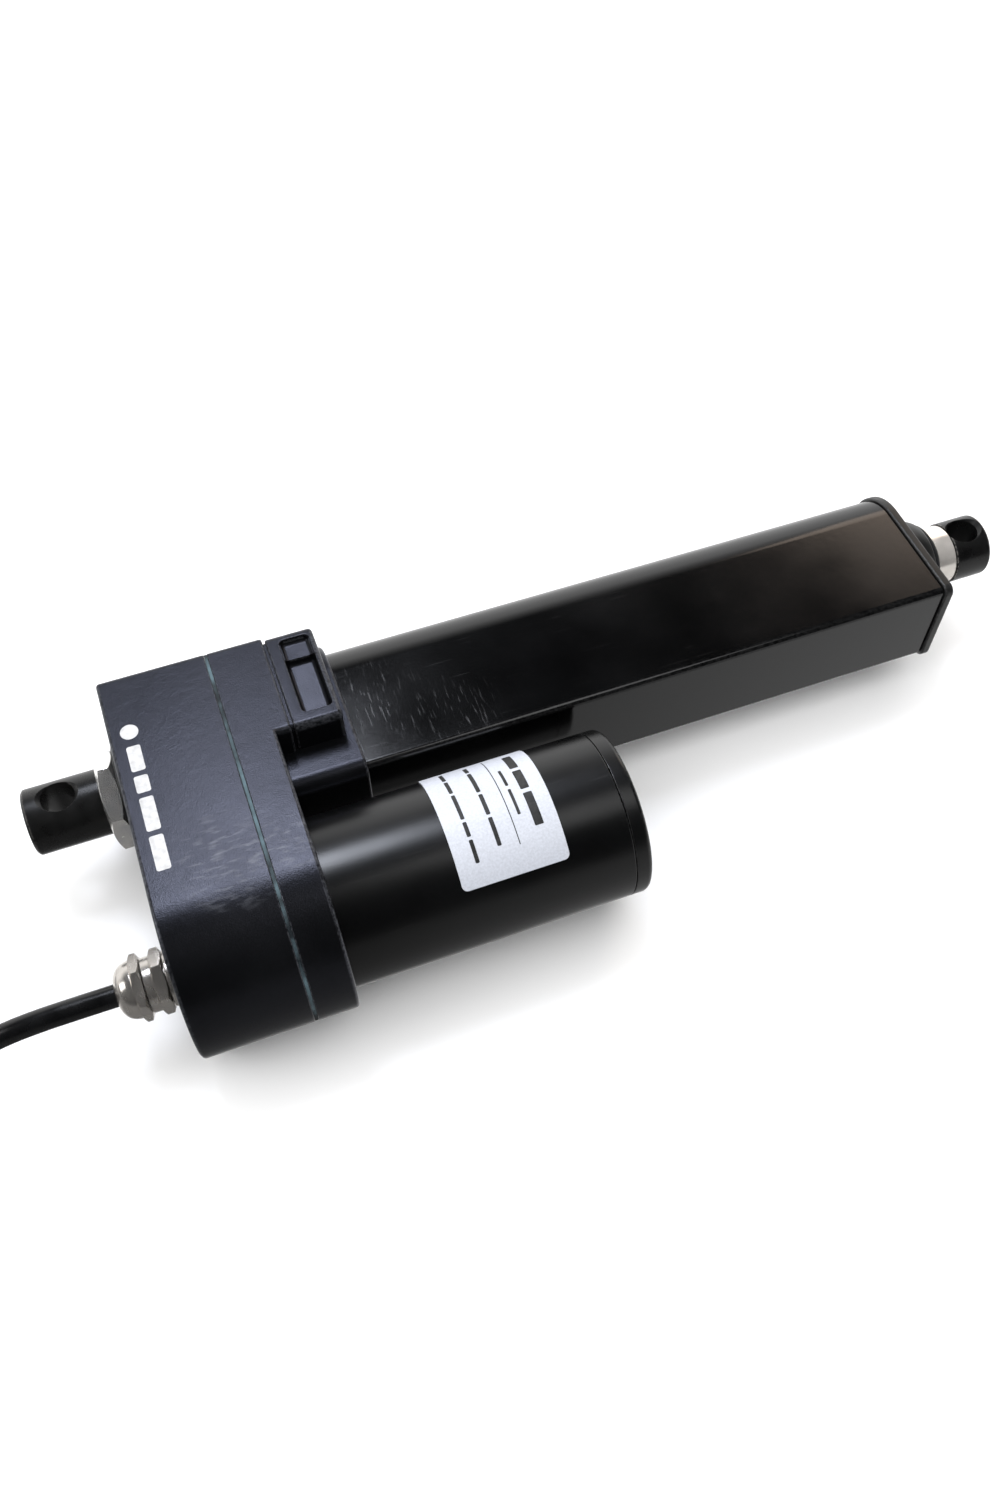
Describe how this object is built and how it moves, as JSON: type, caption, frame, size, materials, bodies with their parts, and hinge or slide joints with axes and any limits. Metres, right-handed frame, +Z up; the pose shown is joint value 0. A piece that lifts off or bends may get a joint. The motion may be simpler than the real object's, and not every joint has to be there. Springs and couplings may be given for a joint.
{
  "type": "linear actuator",
  "caption": "Electric linear actuator with a side-mounted motor, a gear housing, a D-shaped tube, a sliding rod with an eye, and a cable.",
  "frame": {"origin": "centre of the object's footprint on the surface it lies on, cable left out", "axes": "+X from the rear pin hole to the rod eye, +Y away from the motor, +Z up from the surface, square to the housing's broad sides"},
  "size_m": [0.6892, 0.1709, 0.09],
  "materials": {
    "housing_paint": "charcoal powder coat, fine texture",
    "tube_paint": "smooth black coat, satin to gloss",
    "motor_paint": "smooth black coat, satin to gloss",
    "cap_plastic": "black moulded plastic",
    "black_steel": "blackened turned steel, oiled",
    "gasket": "thin light blue grey seal",
    "zinc": "bright zinc plate",
    "stainless": "ground stainless steel",
    "steel": "plain machined steel",
    "nickel": "nickel plated brass",
    "bronze": "machined bronze",
    "copper": "copper",
    "magnet": "ferrite",
    "natural_plastic": "natural acetal",
    "black_plastic": "black moulded plastic",
    "board": "green circuit board",
    "rubber": "black rubber",
    "cable_jacket": "smooth black cable jacket, semi gloss",
    "carbon": "carbon brush",
    "label": "white foil label with plain bars",
    "lead_red": "red insulation",
    "lead_black": "black insulation"
  },
  "bodies": {
    "housing": {"rear_fixture": "black_steel", "fixture_lock_nut": "zinc", "rear_collar": "black_plastic", "bearing_cup": "steel", "thrust_bearing": "steel", "rear_housing": "housing_paint", "housing_gasket": "gasket", "front_housing": "housing_paint", "housing_screw_1": "steel", "housing_screw_2": "steel", "housing_screw_3": "steel", "housing_screw_4": "steel", "outer_tube": "tube_paint", "front_end_cap": "cap_plastic", "rod_guide_bush": "natural_plastic", "rod_wiper_seal": "rubber", "gear_plate_rear": "steel", "gear_plate_front": "steel", "spindle_bearing": "steel", "limit_switch_board": "board", "limit_switch_rear": "black_plastic", "limit_switch_front": "black_plastic", "motor_front_plate": "steel", "motor_front_bearing": "steel", "motor_can": "motor_paint", "motor_end_cap": "motor_paint", "motor_rear_bearing": "steel", "motor_magnet_top": "magnet", "motor_magnet_bottom": "magnet", "motor_brush_ring": "black_plastic", "motor_brush_top": "carbon", "motor_brush_bottom": "carbon", "rating_label": "label", "gland_dome_nut": "nickel", "gland_body": "nickel", "gland_seal_ring": "nickel", "gland_lock_nut": "nickel", "cable": "cable_jacket", "cable_coil": "cable_jacket", "cable_strap": "rubber", "cable_end": "cable_jacket", "cable_end_sleeve": "rubber", "lead_red": "lead_red", "lead_black": "lead_black"},
    "rotor": {"motor_shaft": "steel", "motor_pinion": "steel", "motor_armature": "steel", "motor_winding_front": "copper", "motor_winding_rear": "copper", "motor_commutator": "copper"},
    "idler_a": {"idler_a_pinion_shaft": "steel", "idler_a_wheel": "natural_plastic"},
    "idler_b": {"idler_b_pinion_shaft": "steel", "idler_b_wheel": "steel"},
    "spindle": {"spindle": "steel", "spindle_wheel": "steel"},
    "rod": {"piston_rod": "stainless", "rod_eye": "black_steel", "spindle_nut": "bronze", "nut_guide": "natural_plastic"}
  },
  "joints": [
    {"name": "motor_spin", "type": "hinge", "parent": "housing", "child": "rotor", "pos_m": [-0.0726, -0.03905, 0.045], "axis": [1, 0, 0], "range_deg": [0, 1092500]},
    {"name": "idler_a_spin", "type": "hinge", "parent": "housing", "child": "idler_a", "pos_m": [-0.1566, -0.01205, 0.04528], "axis": [1, 0, 0], "range_deg": [-273200, 75]},
    {"name": "idler_b_spin", "type": "hinge", "parent": "housing", "child": "idler_b", "pos_m": [-0.1566, 0.01328, 0.039], "axis": [1, 0, 0], "range_deg": [-20, 71270]},
    {"name": "spindle_spin", "type": "hinge", "parent": "housing", "child": "spindle", "pos_m": [-0.0226, 0.04395, 0.045], "axis": [1, 0, 0], "range_deg": [-22506, 6]},
    {"name": "rod_extend", "type": "slide", "parent": "housing", "child": "rod", "axis": [1, 0, 0], "range_m": [0, 0.25]}
  ],
  "couplings": [
    {"joint": "idler_a_spin", "follows": "motor_spin", "ratio": -0.25},
    {"joint": "idler_b_spin", "follows": "motor_spin", "ratio": 0.065217},
    {"joint": "spindle_spin", "follows": "motor_spin", "ratio": -0.020595},
    {"joint": "rod_extend", "follows": "motor_spin", "m_per_rad": 0.000013111}
  ]
}
